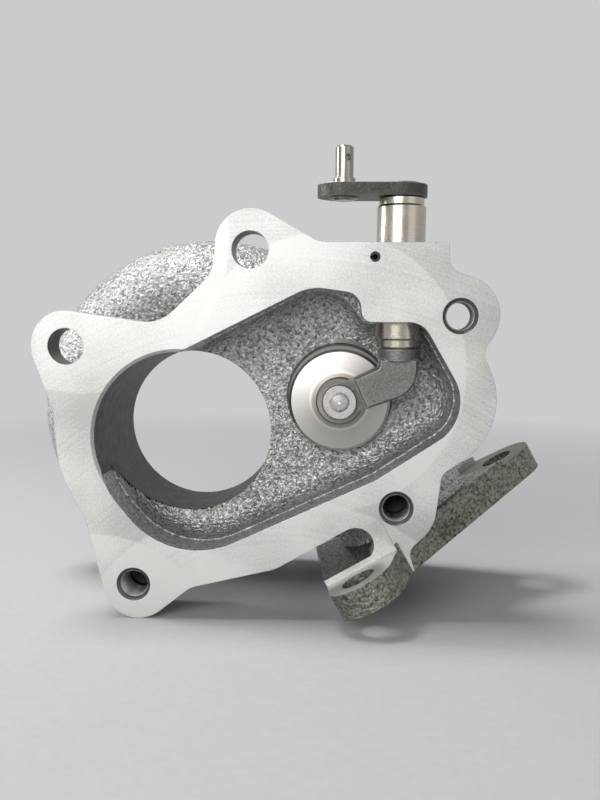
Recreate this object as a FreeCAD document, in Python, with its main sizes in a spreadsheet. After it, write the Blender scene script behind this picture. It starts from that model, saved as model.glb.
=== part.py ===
import FreeCAD, Part
import math
import os

import Sketcher

# Turbine housing of an internally wastegated turbocharger, in millimetres.
# The origin is on the wheel's axis, in the rear face that meets the bearing housing. The
# outlet face looks along -Y, Z runs up along the wastegate shaft and X runs to the right.
# The pieces are drawn with their depth Y counted from the outlet face, and each finished
# piece is moved back by the housing's depth.

V = FreeCAD.Vector
doc = FreeCAD.newDocument("turbine_housing")
sheet = doc.addObject("Spreadsheet::Sheet", "Sizes")

SIZES = {
    # Outlet flange
    "flange_thick": 12.0,
    "rim_radius": 38.2,
    "clear_hole_radius": 5.5,
    "tapped_hole_radius": 4.4,
    "tapped_mouth_radius": 5.35,
    "tapped_depth": 17.0,
    "tapped_boss_radius": 8.6,
    "tapped_boss_length": 21.0,
    "left_hole_x": -34.15,
    "left_hole_z": 27.99,
    "left_lug_radius": 10.7,
    "top_hole_x": 22.03,
    "top_hole_z": 56.66,
    "top_lug_radius": 10.8,
    "top_lug_shift_z": 1.2,
    "right_hole_x": 84.5,
    "right_hole_z": 37.6,
    "right_lug_radius": 11.75,
    "foot_hole_x": -15.14,
    "foot_hole_z": -46.01,
    "foot_lug_radius": 10.8,
    "foot_lug_shift_x": 1.3,
    "web_hole_x": 66.75,
    "web_hole_z": -20.73,
    "web_lug_radius": 12.3,
    # Bore for the turbine wheel
    "bore_radius": 26.5,
    "bore_length": 57.0,
    "bore_chamfer": 0.9,
    "bore_wall": 6.0,
    "shroud_flare": 4.5,
    # Outlet pocket
    "pocket_depth": 25.0,
    "pocket_wall": 4.5,
    "pocket_lead": 14.0,
    "pocket_fillet": 8.0,
    "pocket_top_x": 42.3,
    "pocket_top_radius": 14.2,
    "pocket_end_radius": 14.0,
    "pocket_low_radius": 8.0,
    # Scroll and inlet duct
    "cast_wall": 4.5,
    "scroll_start_radius": 14.2,
    "scroll_inner_radius": 34.0,
    "throat_rear": 69.5,
    "throat_width": 8.0,
    "inlet_tilt_deg": 30.0,
    "inlet_offset": 71.4,
    "port_radius": 20.0,
    "port_along": 47.0,
    "port_depth": 33.0,
    # Inlet flange
    "inlet_thick": 10.7,
    "inlet_seat_thick": 8.7,
    "inlet_hole_radius": 5.5,
    "inlet_front_along": 27.5,
    "inlet_front_depth": -9.3,
    "inlet_right_along": 85.0,
    "inlet_right_depth": 50.0,
    "inlet_rear_along": 23.0,
    "inlet_rear_depth": 68.0,
    "inlet_ear_radius": 11.8,
    "inlet_front_radius": 10.8,
    "notch_radius": 5.7,
    # Bearing housing side
    "back_face": 80.0,
    "band_radius": 46.0,
    "band_width": 6.0,
    "band_bevel": 2.6,
    "register_radius": 38.5,
    "register_depth": 5.5,
    "wheel_radius": 33.0,
    "dowel_radius": 1.5,
    "dowel_length": 7.0,
    "dowel_stand": 3.0,
    # Wastegate shaft and bushing
    "shaft_x": 67.2,
    "shaft_y": 12.5,
    "shaft_radius": 4.5,
    "shaft_clearance": 0.04,
    "boss_radius": 12.0,
    "boss_bottom": 35.7,
    "boss_top": 58.9,
    "bush_radius": 7.45,
    "bush_bottom": 28.2,
    "bush_top": 72.7,
    "bush_neck": 0.6,
    "bush_neck_length": 2.0,
    "lock_pin_x": 59.0,
    "lock_pin_z": 54.7,
    "lock_pin_radius": 1.5,
    "lock_pin_bore": 0.8,
    "lock_pin_slit": 0.5,
    "lock_pin_length": 14.0,
    "lock_pin_set": 0.5,
    # Swing arm
    "hub_radius": 6.5,
    "hub_bevel": 0.5,
    "hub_bottom": 23.6,
    "end_play": 0.35,
    "arm_front": 7.4,
    "arm_back": 16.4,
    "arm_width": 10.2,
    "arm_bevel": 0.7,
    "arm_angle_deg": 25.0,
    "elbow_radius": 9.5,
    "eye_front": 12.9,
    "eye_radius": 6.0,
    # Wastegate valve
    "valve_x": 49.0,
    "valve_z": 11.8,
    "valve_drop": 1.0,
    "valve_radius": 16.4,
    "valve_rim": 2.4,
    "valve_cone": 1.3,
    "valve_hub_radius": 7.6,
    "valve_chamfer": 0.8,
    "stud_radius": 3.0,
    "stud_clearance": 0.08,
    "stud_stand": 1.1,
    "washer_radius": 5.45,
    "washer_thick": 1.6,
    "valve_play": 0.3,
    "seat_height": 3.0,
    "seat_margin": 0.1,
    "wastegate_radius": 12.5,
    # Lever outside the housing
    "lever_thick": 3.6,
    "lever_radius": 7.7,
    "pin_offset": 17.55,
    "pin_eye_radius": 8.1,
    "pin_radius": 2.75,
    "pin_height": 11.5,
    "pin_collar_radius": 3.4,
    "pin_collar": 2.0,
    "pin_hole_radius": 0.95,
    "pin_hole_drop": 3.6,
    "pin_hole_turn_deg": 23.0,
    "rivet_radius": 4.2,
    "rivet_height": 0.9,
    "weld_width": 1.6,
    "weld_height": 0.8,
}

for row, (alias, number) in enumerate(SIZES.items(), start=1):
    sheet.set("A%d" % row, alias.replace("_", " "))
    sheet.set("B%d" % row, str(number))
    sheet.setAlias("B%d" % row, alias)
doc.recompute()


class Dim:
    """A number together with the spreadsheet expression that gives it."""

    def __init__(self, number, text):
        self.number = float(number)
        self.text = text

    def __float__(self):
        return self.number

    def join(self, other, sign, number):
        return Dim(number, "(%s %s %s)" % (self.text, sign, dim(other).text))

    def __add__(self, other):
        return self.join(other, "+", self.number + float(other))

    def __sub__(self, other):
        return self.join(other, "-", self.number - float(other))

    def __mul__(self, other):
        return self.join(other, "*", self.number * float(other))

    def __neg__(self):
        return Dim(-self.number, "(0 - %s)" % self.text)

    __radd__ = __add__
    __rmul__ = __mul__

    def __rsub__(self, other):
        return dim(other) - self


def dim(value):
    """Return a Dim for a spreadsheet alias, a plain number or a Dim."""
    if isinstance(value, Dim):
        return value
    if isinstance(value, str):
        return Dim(sheet.get(value), "Sizes." + value)
    return Dim(value, repr(float(value)))


def polar(radius, degrees):
    """Return the two Dims of a point at a radius and a fixed angle."""
    angle = math.radians(degrees)
    return dim(radius) * math.cos(angle), dim(radius) * math.sin(angle)


# Sketches

def place_point(sketch, geometry, end, x, y):
    """Tie a sketch point to its two Dims."""
    for kind, value, axis in (("DistanceX", dim(x), -2), ("DistanceY", dim(y), -1)):
        if abs(float(value)) < 1e-9:
            sketch.addConstraint(Sketcher.Constraint("PointOnObject", geometry, end, axis))
            continue
        index = sketch.addConstraint(Sketcher.Constraint(kind, -1, 1, geometry, end, float(value)))
        sketch.setExpression("Constraints[%d]" % index, value.text)


def polygon(sketch, points):
    """Draw a closed polygon whose corners are tied to Dims."""
    corners = [V(float(dim(x)), float(dim(y)), 0) for x, y in points]
    for index, corner in enumerate(corners):
        sketch.addGeometry(Part.LineSegment(corner, corners[(index + 1) % len(corners)]), False)
    for index, (x, y) in enumerate(points):
        before = (index - 1) % len(points)
        sketch.addConstraint(Sketcher.Constraint("Coincident", before, 2, index, 1))
        place_point(sketch, index, 1, x, y)


def tangent_line(first, second):
    """Return the ends of the belt's straight run from one circle to the next, clockwise."""
    (ax, ay, ar), (bx, by, br) = first, second
    span = math.hypot(bx - ax, by - ay)
    ux, uy = (bx - ax) / span, (by - ay) / span
    along = (ar - br) / span
    across = math.sqrt(max(0.0, 1.0 - along * along))
    nx, ny = along * ux - across * uy, along * uy + across * ux
    return V(ax + ar * nx, ay + ar * ny, 0), V(bx + br * nx, by + br * ny, 0)


def belt(sketch, circles):
    """Draw a belt that runs clockwise round circles.

    Each circle is (x, y, radius): a positive radius is an outside round, a negative one an
    inside round and 0 a sharp corner. Lines join them by tangents.
    """
    rounds = [tuple(float(dim(value)) for value in circle) for circle in circles]
    count = len(rounds)
    lines = [tangent_line(rounds[i], rounds[(i + 1) % count]) for i in range(count)]
    for start, end in lines:
        sketch.addGeometry(Part.LineSegment(start, end), False)
    for index, (x, y, radius) in enumerate(circles):
        before = (index - 1) % count
        cx, cy, r = rounds[index]
        if r == 0:
            sketch.addConstraint(Sketcher.Constraint("Coincident", before, 2, index, 1))
            place_point(sketch, index, 1, x, y)
            continue
        arrive, leave = lines[before][1], lines[index][0]
        turn_in = math.atan2(arrive.y - cy, arrive.x - cx)
        turn_out = math.atan2(leave.y - cy, leave.x - cx)
        circle = Part.Circle(V(cx, cy, 0), V(0, 0, 1), abs(r))
        if r > 0:
            arc = sketch.addGeometry(Part.ArcOfCircle(circle, turn_out, turn_in), False)
            first, last = 2, 1
        else:
            arc = sketch.addGeometry(Part.ArcOfCircle(circle, turn_in, turn_out), False)
            first, last = 1, 2
        sketch.addConstraint(Sketcher.Constraint("Tangent", before, 2, arc, first))
        sketch.addConstraint(Sketcher.Constraint("Tangent", arc, last, index, 1))
        place_point(sketch, arc, 3, x, y)
        size = sketch.addConstraint(Sketcher.Constraint("Radius", arc, abs(r)))
        text = dim(radius).text if r > 0 else (-dim(radius)).text
        sketch.setExpression("Constraints[%d]" % size, text)


def place(item, base):
    """Bind an object's position to three Dims."""
    for letter, value in zip("xyz", base):
        item.setExpression(".Placement.Base." + letter, dim(value).text)


# FACE sketches look at the part along +Y: their x is X and their y is Z.
FACE = FreeCAD.Rotation(V(1, 0, 0), V(0, 0, 1), V(0, -1, 0), "XYZ")
LEVEL = FreeCAD.Rotation()


def outline_sketch(name, circles, base, turn=FACE, draw=belt):
    """Draw an outline in a sketch of its own."""
    sketch = doc.addObject("Sketcher::SketchObject", name)
    sketch.Placement = FreeCAD.Placement(V(0, 0, 0), turn)
    draw(sketch, circles)
    place(sketch, base)
    return sketch


def extrude(name, sketch, length, direction=None):
    """Extrude a sketch by a Dim, along the sketch's own direction into the housing."""
    solid = doc.addObject("Part::Extrusion", name)
    solid.Base = sketch
    solid.DirMode = "Custom"
    solid.Dir = direction or V(0, 1, 0)
    solid.Solid = True
    solid.setExpression("LengthFwd", dim(length).text)
    return solid


def cylinder(name, radius, length, base, axis=V(0, 1, 0)):
    """Make a cylinder whose base is three Dims and whose size is bound to the sheet."""
    solid = doc.addObject("Part::Cylinder", name)
    solid.Placement = FreeCAD.Placement(V(0, 0, 0), FreeCAD.Rotation(V(0, 0, 1), axis))
    solid.setExpression("Radius", dim(radius).text)
    solid.setExpression("Height", dim(length).text)
    place(solid, base)
    return solid


def cone(name, front_radius, rear_radius, length, base, axis=V(0, 1, 0)):
    """Make a cone frustum bound to the sheet."""
    solid = doc.addObject("Part::Cone", name)
    solid.Placement = FreeCAD.Placement(V(0, 0, 0), FreeCAD.Rotation(V(0, 0, 1), axis))
    solid.setExpression("Radius1", dim(front_radius).text)
    solid.setExpression("Radius2", dim(rear_radius).text)
    solid.setExpression("Height", dim(length).text)
    place(solid, base)
    return solid


def fuse(name, solids):
    joined = doc.addObject("Part::MultiFuse", name)
    joined.Shapes = solids
    return joined


def stack(name, solids):
    """Fuse solids one after another, which keeps a large casting sound."""
    joined = solids[0]
    for index, solid in enumerate(solids[1:], start=1):
        step = doc.addObject("Part::Fuse", name + "_%d" % index)
        step.Base = joined
        step.Tool = solid
        joined = step
    return joined


def cut(name, base, tool):
    part = doc.addObject("Part::Cut", name)
    part.Base = base
    part.Tool = tool
    return part


def carve(name, base, tools):
    """Cut tools from a solid one after another."""
    left = base
    for index, tool in enumerate(tools, start=1):
        left = cut(name + "_%d" % index, left, tool)
    return left


def body_sketch(body, role, name):
    """Add a sketch on one of a body's own origin planes."""
    sketch = body.newObject("Sketcher::SketchObject", name)
    plane = next(item for item in body.Origin.OriginFeatures if item.Role == role)
    sketch.AttachmentSupport = [(plane, "")]
    sketch.MapMode = "FlatFace"
    return sketch


def turned(label, profile, base, axis=V(0, 0, 1)):
    """Turn a profile of (radius, height) corners about an axis through base.

    Heights run along the axis.
    """
    body = doc.addObject("PartDesign::Body", label)
    body.Label = label
    sketch = body_sketch(body, "XZ_Plane", label + "_profile")
    polygon(sketch, profile)
    turn = body.newObject("PartDesign::Revolution", label + "_turned")
    turn.Profile = sketch
    turn.ReferenceAxis = (sketch, ["V_Axis"])
    turn.Angle = 360.0
    body.Placement = FreeCAD.Placement(V(0, 0, 0), FreeCAD.Rotation(V(0, 0, 1), axis))
    place(body, base)
    return body


# Turbine housing: the outlet flange

FLANGE_WAISTS = {
    "left_top": 12.0,
    "top_left": 10.7,
    "top_boss": 8.0,
    "boss_right": 4.5,
    "right": 4.5,
    "bulge": 21.5,
    "web_right": 4.0,
    "web_tip": 4.0,
    "foot_right": 7.0,
    "foot_left": 6.0,
    "left": 9.0,
}

TILT = math.radians(SIZES["inlet_tilt_deg"])


def inlet_point(along, inward):
    """Return X and Z of a point in the inlet flange's own directions.

    along runs up the flange's slope, inward is the distance from the mating face.
    """
    reach = dim("inlet_offset") - dim(inward)
    x = dim(along) * math.cos(TILT) + reach * math.sin(TILT)
    z = dim(along) * math.sin(TILT) - reach * math.cos(TILT)
    return x, z


NOTCH_END = 30.85


def notch_centre():
    """Return the centre of the notch's round end, just inside the inlet flange."""
    return inlet_point(NOTCH_END, dim("inlet_thick") + dim("notch_radius") - 0.55)


def flange_outline():
    """Return the outlet flange's belt, clockwise from the left lug."""
    waist = FLANGE_WAISTS
    corner_x = dim("shaft_x") + dim("boss_radius") + 1.5
    top_x, top_z = dim("top_hole_x") + 0.3, dim("top_hole_z") + dim("top_lug_shift_z")
    right_z = dim("right_hole_z") + 0.1
    right_reach = dim("right_lug_radius") + waist["boss_right"] + 0.5
    waist_reach = dim("right_lug_radius") + waist["right"] + 0.2
    foot_x = dim("foot_hole_x") + dim("foot_lug_shift_x")
    left_x, left_z = polar(dim("rim_radius") + waist["left"] + 0.9, 172.0)
    low_x, low_z = polar(dim("rim_radius") + waist["foot_left"] + 0.4, 217.3)
    heel = 10.6
    notch_top = dim("inlet_thick") + 2.0 * dim("notch_radius") - 0.55
    heel_x, heel_z = inlet_point(6.9, notch_top + heel)
    return [
        ("left_hole_x", "left_hole_z", "left_lug_radius"),
        (dim("left_hole_x") + 24.6, dim("left_hole_z") + 19.4, -waist["left_top"]),
        (top_x - dim("top_lug_radius") - waist["top_left"] - 0.1, top_z - 2.7, -waist["top_left"]),
        (top_x, top_z, "top_lug_radius"),
        (top_x + 22.2, dim("boss_top") + waist["top_boss"], -waist["top_boss"]),
        (corner_x, "boss_top", 0),
        (corner_x + waist["boss_right"] + 0.1, right_z + right_reach, -waist["boss_right"]),
        (dim("right_hole_x") - 0.1, right_z, "right_lug_radius"),
        (dim("right_hole_x") - 0.1 + waist_reach * math.cos(math.radians(42.0)),
         right_z - waist_reach * math.sin(math.radians(42.0)), -waist["right"]),
        (dim("valve_x") + 25.6, dim("valve_z") + 0.4, waist["bulge"]),
        (dim("web_hole_x") + 17.4, dim("web_hole_z") + 8.5, -waist["web_right"]),
        ("web_hole_x", "web_hole_z", "web_lug_radius"),
        (dim("web_hole_x") + 8.65, dim("web_hole_z") - 14.4, -waist["web_tip"]),
        (*inlet_point(43.0, 0.0), 0),
        (*inlet_point(30.0, 5.0), 0),
        (*inlet_point(26.0, notch_top - 0.75), 0),
        (heel_x, heel_z, heel),
        (dim("foot_hole_x") + 21.0, dim("foot_hole_z") - 7.3, -waist["foot_right"]),
        (foot_x, dim("foot_hole_z") - 0.2, "foot_lug_radius"),
        (low_x, low_z, -waist["foot_left"]),
        (0, 0, "rim_radius"),
        (left_x, left_z, -waist["left"]),
    ]


def notched_flange():
    """Return the flange plate with the notch that clears the front stud's nut."""
    outline = outline_sketch("flange_outline", flange_outline(), (0, 0, 0))
    plate = extrude("flange_plate", outline, "flange_thick")
    x, z = notch_centre()
    far_x, far_z = x - 60.0 * math.cos(TILT), z - 60.0 * math.sin(TILT)
    ends = [(far_x, far_z, "notch_radius"), (x, z, "notch_radius")]
    slot_outline = outline_sketch("notch_outline", ends, (0, -1.0, 0))
    slot = extrude("notch", slot_outline, dim("flange_thick") + 2.0)
    return cut("notched_flange", plate, slot)


# Turbine housing: the outlet pocket

pocket_top_z = dim("boss_bottom") - 4.3

def pocket_lead():
    """Return the outline of the pocket's mouth, clockwise from below the bore."""
    boss_left = dim("shaft_x") - dim("boss_radius")
    corner = 3.2
    shoulder = 5.0
    return [
        (5.0, -8.0, dim("bore_radius") + 0.4),
        (1.0, -4.0, dim("bore_radius") - 0.2),
        (-6.0, 18.0, 4.8),
        ("pocket_top_x", pocket_top_z, "pocket_top_radius"),
        (boss_left - shoulder - 0.1, dim("boss_bottom") + 3.9, shoulder),
        (boss_left + corner, dim("boss_bottom") + corner, -corner),
        (dim("shaft_x") + 2.3, dim("boss_bottom") - 7.0, 7.0),
        (dim("valve_x") + 22.3, dim("valve_z") + 0.1, "pocket_end_radius"),
        (dim("valve_x") + 7.3, dim("valve_z") - 16.9, "pocket_low_radius"),
    ]


def pocket_bowl():
    """Return the outline of the pocket's deep part, whose rounds take the floor's fillet."""
    boss_left = dim("shaft_x") - dim("boss_radius")
    corner = 3.2
    inset = 0.5
    round_ = dim("pocket_fillet") + 1.5
    return [
        (5.0, -8.0, dim("bore_radius") + 0.4 - inset),
        (1.0, -4.0, dim("bore_radius") - 0.2 - inset),
        (-2.5, 13.0, 10.3),
        ("pocket_top_x", pocket_top_z, dim("pocket_top_radius") - inset),
        (boss_left + corner, dim("boss_bottom") + corner, -(corner + inset)),
        (dim("shaft_x") + 0.7, dim("boss_bottom") - inset - round_, round_),
        (dim("valve_x") + 22.3, dim("valve_z") + 0.1, dim("pocket_end_radius") - inset),
        (dim("valve_x") + 6.3, dim("valve_z") - 15.2, round_),
    ]


def edges_at_depth(shape, depth):
    """Return the numbers of the edges that lie flat at a depth."""
    found = []
    for number, edge in enumerate(shape.Edges, start=1):
        box = edge.BoundBox
        if abs(box.YMin - depth) < 1e-4 and abs(box.YMax - depth) < 1e-4:
            found.append(number)
    return found


def rounded(name, solid, depth, radius):
    """Round every edge of a solid that lies at a depth."""
    doc.recompute()
    result = doc.addObject("Part::Fillet", name)
    result.Base = solid
    result.Edges = [(number, float(radius), float(radius))
                    for number in edges_at_depth(solid.Shape, float(depth))]
    return result


def bevelled(name, solid, depth, size):
    """Bevel every edge of a solid that lies at a depth."""
    doc.recompute()
    result = doc.addObject("Part::Chamfer", name)
    result.Base = solid
    result.Edges = [(number, float(size), float(size))
                    for number in edges_at_depth(solid.Shape, float(depth))]
    return result


def pocket():
    """Return the pocket's space: a straight lead and a bowl with a rounded floor."""
    mouth = outline_sketch("pocket_mouth", pocket_lead(), (0, -1.0, 0))
    lead = extrude("pocket_lead", mouth, dim("pocket_lead") + 1.0)
    deep = outline_sketch("pocket_floor", pocket_bowl(), (0, -1.0, 0))
    bowl = extrude("pocket_bowl", deep, dim("pocket_depth") + 1.0)
    smooth = rounded("pocket_rounded", bowl, dim("pocket_depth"), dim("pocket_fillet"))
    return fuse("pocket_space", [lead, smooth])


def pocket_shell():
    """Return the cast wall that closes the pocket behind the flange."""
    wall = dim("pocket_wall")
    front = dim("flange_thick") - 4.0
    rear = dim("pocket_depth") + wall
    outline = [
        (5.0, -8.0, dim("bore_radius") + 0.4 + wall),
        (0, 0, dim("bore_radius") + dim("bore_wall")),
        ("pocket_top_x", pocket_top_z, dim("pocket_top_radius") + wall),
        (dim("shaft_x") + 2.3, dim("boss_bottom") - 7.0, 7.0 + wall),
        (dim("valve_x") + 22.3, dim("valve_z") + 0.1, dim("pocket_end_radius") + wall),
        (dim("valve_x") + 7.3, dim("valve_z") - 16.9, dim("pocket_low_radius") + wall),
    ]
    sketch = outline_sketch("shell_outline", outline, (0, front, 0))
    block = extrude("shell_block", sketch, rear - front)
    return rounded("pocket_shell", block, rear, dim("pocket_fillet") - 2.0)


# Turbine housing: the scroll and its inlet duct

SCROLL_START = SIZES["inlet_tilt_deg"]
SCROLL_END = 318.0
SCROLL_TONGUE = 326.0
SCROLL_STEP = 24.0


def scroll_radius(angle):
    """Return the gas passage's radius, whose area shrinks evenly round the wheel."""
    left = (SCROLL_TONGUE - angle) / (SCROLL_TONGUE - SCROLL_START)
    return SIZES["scroll_start_radius"] * math.sqrt(left)


def section(centre, outward, forward, radius):
    """Return a round section wire that faces forward."""
    circle = Part.Circle(V(0, 0, 0), V(0, 0, 1), radius)
    wire = Part.Wire([circle.toShape()])
    across = forward.cross(outward)
    wire.Placement = FreeCAD.Placement(centre, FreeCAD.Rotation(outward, across, forward, "XYZ"))
    return wire


def duct_sections(grow, first):
    """Return the sections from the inlet flange to the scroll's start."""
    outward = V(math.cos(TILT), 0, math.sin(TILT))
    forward = V(-math.sin(TILT), 0, math.cos(TILT))
    start = SIZES["scroll_start_radius"]
    reach = SIZES["inlet_offset"]
    wires = []
    for step in range(5):
        share = step / 5.0
        ease = share * (3.0 - share) / 2.0
        along = SIZES["port_along"] + ease * (SIZES["scroll_inner_radius"] + start - SIZES["port_along"])
        depth = SIZES["port_depth"] + ease * (SIZES["throat_rear"] - start - SIZES["port_depth"])
        radius = SIZES["port_radius"] + share * (start - SIZES["port_radius"])
        travel = -reach * (1.0 - share)
        if step == 0:
            travel -= first
        centre = outward * along + forward * travel + V(0, depth, 0)
        wires.append(section(centre, outward, forward, radius + grow))
    return wires


def scroll_sections(grow):
    """Return the sections of the scroll from the duct round to the tongue."""
    wires = []
    angle = SCROLL_START
    while angle <= SCROLL_END + 1e-6:
        turn = math.radians(angle)
        outward = V(math.cos(turn), 0, math.sin(turn))
        forward = V(-math.sin(turn), 0, math.cos(turn))
        radius = scroll_radius(angle)
        depth = V(0, SIZES["throat_rear"] - radius, 0)
        centre = outward * (SIZES["scroll_inner_radius"] + radius) + depth
        wires.append(section(centre, outward, forward, radius + grow))
        angle += SCROLL_STEP
    return wires


def gas_path(name, grow, first):
    """Return the lofted duct and scroll, grown by a wall."""
    feature = doc.addObject("Part::Feature", name)
    feature.Shape = Part.makeLoft(duct_sections(grow, first) + scroll_sections(grow), True, False)
    return feature


# Turbine housing: the inlet flange

ALONG = V(math.cos(TILT), 0, math.sin(TILT))
INWARD = V(-math.sin(TILT), 0, math.cos(TILT))
INLET_FACE = FreeCAD.Rotation(ALONG, V(0, 1, 0), INWARD, "XYZ")
INLET_SIDE = FreeCAD.Rotation(INWARD, V(0, 1, 0), -ALONG, "XYZ")
INLET_EARS = ("front", "right", "rear")


def inlet_ear(name):
    return dim("inlet_%s_along" % name), dim("inlet_%s_depth" % name)


def inlet_flange():
    """Return the three-eared inlet flange, whose front ear stands out past the outlet face."""
    ear = dim("inlet_ear_radius")
    hollow = 9.0
    front, right, rear = (inlet_ear(name) for name in INLET_EARS)
    front_shift = 0.8
    outline = [
        (rear[0], rear[1], ear),
        (right[0], right[1], ear),
        (front[0] + 22.0, front[1] + 3.5, -hollow),
        (front[0] + front_shift, front[1] + front_shift, "inlet_front_radius"),
    ]
    x, z = inlet_point(0.0, 0.0)
    sketch = outline_sketch("inlet_outline", outline, (x, 0, z), INLET_FACE)
    return extrude("inlet_plate", sketch, "inlet_thick", INWARD)


def inlet_cylinder(name, ear, radius, inward, length):
    """Return a cylinder square to the inlet flange over one ear."""
    along, depth = inlet_ear(ear)
    x, z = inlet_point(along, inward)
    return cylinder(name, radius, length, (x, depth, z), INWARD)


def front_seat():
    """Return the cut for the front ear's nut seat and the relief it leaves in the face."""
    end = 41.5
    relief = 0.7
    fade = 12.4
    clear = 40.0
    profile = [(0, -clear), (0, relief), (fade, -0.07), (fade, -clear)]
    x, z = inlet_point(end, "inlet_seat_thick")
    sketch = outline_sketch("front_seat_profile", profile, (x, 0, z), INLET_SIDE, polygon)
    return extrude("front_seat", sketch, 60.0, -ALONG)


# Turbine housing: holes

def tapped_hole(name, through):
    """Return the space of a tapped hole in the outlet flange, with its countersunk mouth."""
    x, z = dim(name + "_hole_x"), dim(name + "_hole_z")
    mouth = dim("tapped_mouth_radius")
    drill = dim("tapped_hole_radius")
    sink = mouth - drill
    solids = [cone(name + "_mouth", mouth, drill, sink, (x, 0, z))]
    if through:
        length = dim("flange_thick") + 2.0
        solids.append(cylinder(name + "_drill", drill, length, (x, -1.0, z)))
        return solids
    solids.append(cylinder(name + "_drill", drill, dim("tapped_depth") + 1.0, (x, -1.0, z)))
    point = 0.6
    solids.append(cone(name + "_point", drill, 0.05, drill * point, (x, "tapped_depth", z)))
    return solids


def clear_hole(name):
    """Return the space of a plain bolt hole in the outlet flange."""
    base = (name + "_hole_x", -1.0, name + "_hole_z")
    return cylinder(name + "_bolt_hole", "clear_hole_radius", dim("flange_thick") + 2.0, base)


def screw_boss(name):
    """Return the boss behind a blind tapped hole."""
    base = (name + "_hole_x", 1.0, name + "_hole_z")
    return cylinder(name + "_boss", "tapped_boss_radius", dim("tapped_boss_length") - 1.0, base)


def shroud():
    """Return the flare from the bore to the wheel's inlet, turned about the bore."""
    radius, start, flare = (SIZES[key] for key in ("bore_radius", "bore_length", "shroud_flare"))
    middle = flare * math.cos(math.radians(45.0))
    arc = Part.Arc(V(radius, start, 0),
                   V(radius + flare - middle, start + middle, 0),
                   V(radius + flare, start + flare, 0))
    # The arc bulges towards the axis, as the wheel's contour does.
    lines = [V(radius + flare, start + flare, 0), V(0, start + flare, 0), V(0, start, 0), V(radius, start, 0)]
    edges = [arc.toShape()]
    edges += [Part.LineSegment(a, b).toShape() for a, b in zip(lines, lines[1:])]
    face = Part.Face(Part.Wire(Part.sortEdges(edges)[0]))
    feature = doc.addObject("Part::Feature", "shroud_flare_space")
    feature.Shape = face.revolve(V(0, 0, 0), V(0, 1, 0), 360.0)
    return feature


# Turbine housing: the whole casting

seat_y = dim("pocket_depth") - dim("seat_height")
seat_radius = dim("valve_radius") + dim("seat_margin")
bush_bore = dim("shaft_radius") + dim("shaft_clearance")
throat_reach = dim("scroll_inner_radius") + 6.0
hang_z = dim("valve_z") - dim("valve_drop")


def bushing_boss():
    """Return the boss that carries the wastegate bushing, flush with the outlet face."""
    radius = dim("boss_radius")
    profile = [
        ("shaft_x", "shaft_y", radius),
        (dim("shaft_x") + radius, 0, 0),
        (dim("shaft_x") - radius, 0, 0),
    ]
    sketch = outline_sketch("boss_outline", profile, (0, 0, "boss_bottom"), LEVEL)
    return extrude("bushing_boss", sketch, dim("boss_top") - dim("boss_bottom"), V(0, 0, 1))


def wheel_body():
    """Return the turned bulk round the wheel: bore tube, rear wall and clamping band."""
    tube = dim("bore_radius") + dim("bore_wall")
    disc = throat_reach + 3.0
    neck = dim("register_radius") + 2.5
    throat_front = dim("throat_rear") - dim("throat_width")
    rear_wall = dim("throat_rear") + dim("cast_wall")
    band_front = dim("back_face") - dim("band_width")
    profile = [
        (0, 1.0),
        (tube, 1.0),
        (tube, throat_front - 4.0),
        (disc, throat_front - 4.0),
        (disc, rear_wall),
        (neck, band_front + 0.4),
        ("band_radius", band_front + dim("band_bevel")),
        ("band_radius", "back_face"),
        (0, "back_face"),
    ]
    return turned("wheel_body", profile, (0, 0, 0), V(0, 1, 0))


def wheel_space():
    """Return the turned space inside: bore with its edge, throat, rear opening and register."""
    bore, edge = dim("bore_radius"), dim("bore_chamfer")
    throat_front = dim("throat_rear") - dim("throat_width")
    register_front = dim("back_face") - dim("register_depth")
    profile = [
        (0, -1.0),
        (bore + edge + 1.0, -1.0),
        (bore, edge),
        (bore, throat_front),
        (throat_reach, throat_front),
        (throat_reach, "throat_rear"),
        ("wheel_radius", "throat_rear"),
        ("wheel_radius", register_front),
        ("register_radius", register_front),
        ("register_radius", dim("back_face") + 1.0),
        (0, dim("back_face") + 1.0),
    ]
    return turned("wheel_space", profile, (0, 0, 0), V(0, 1, 0))


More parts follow.
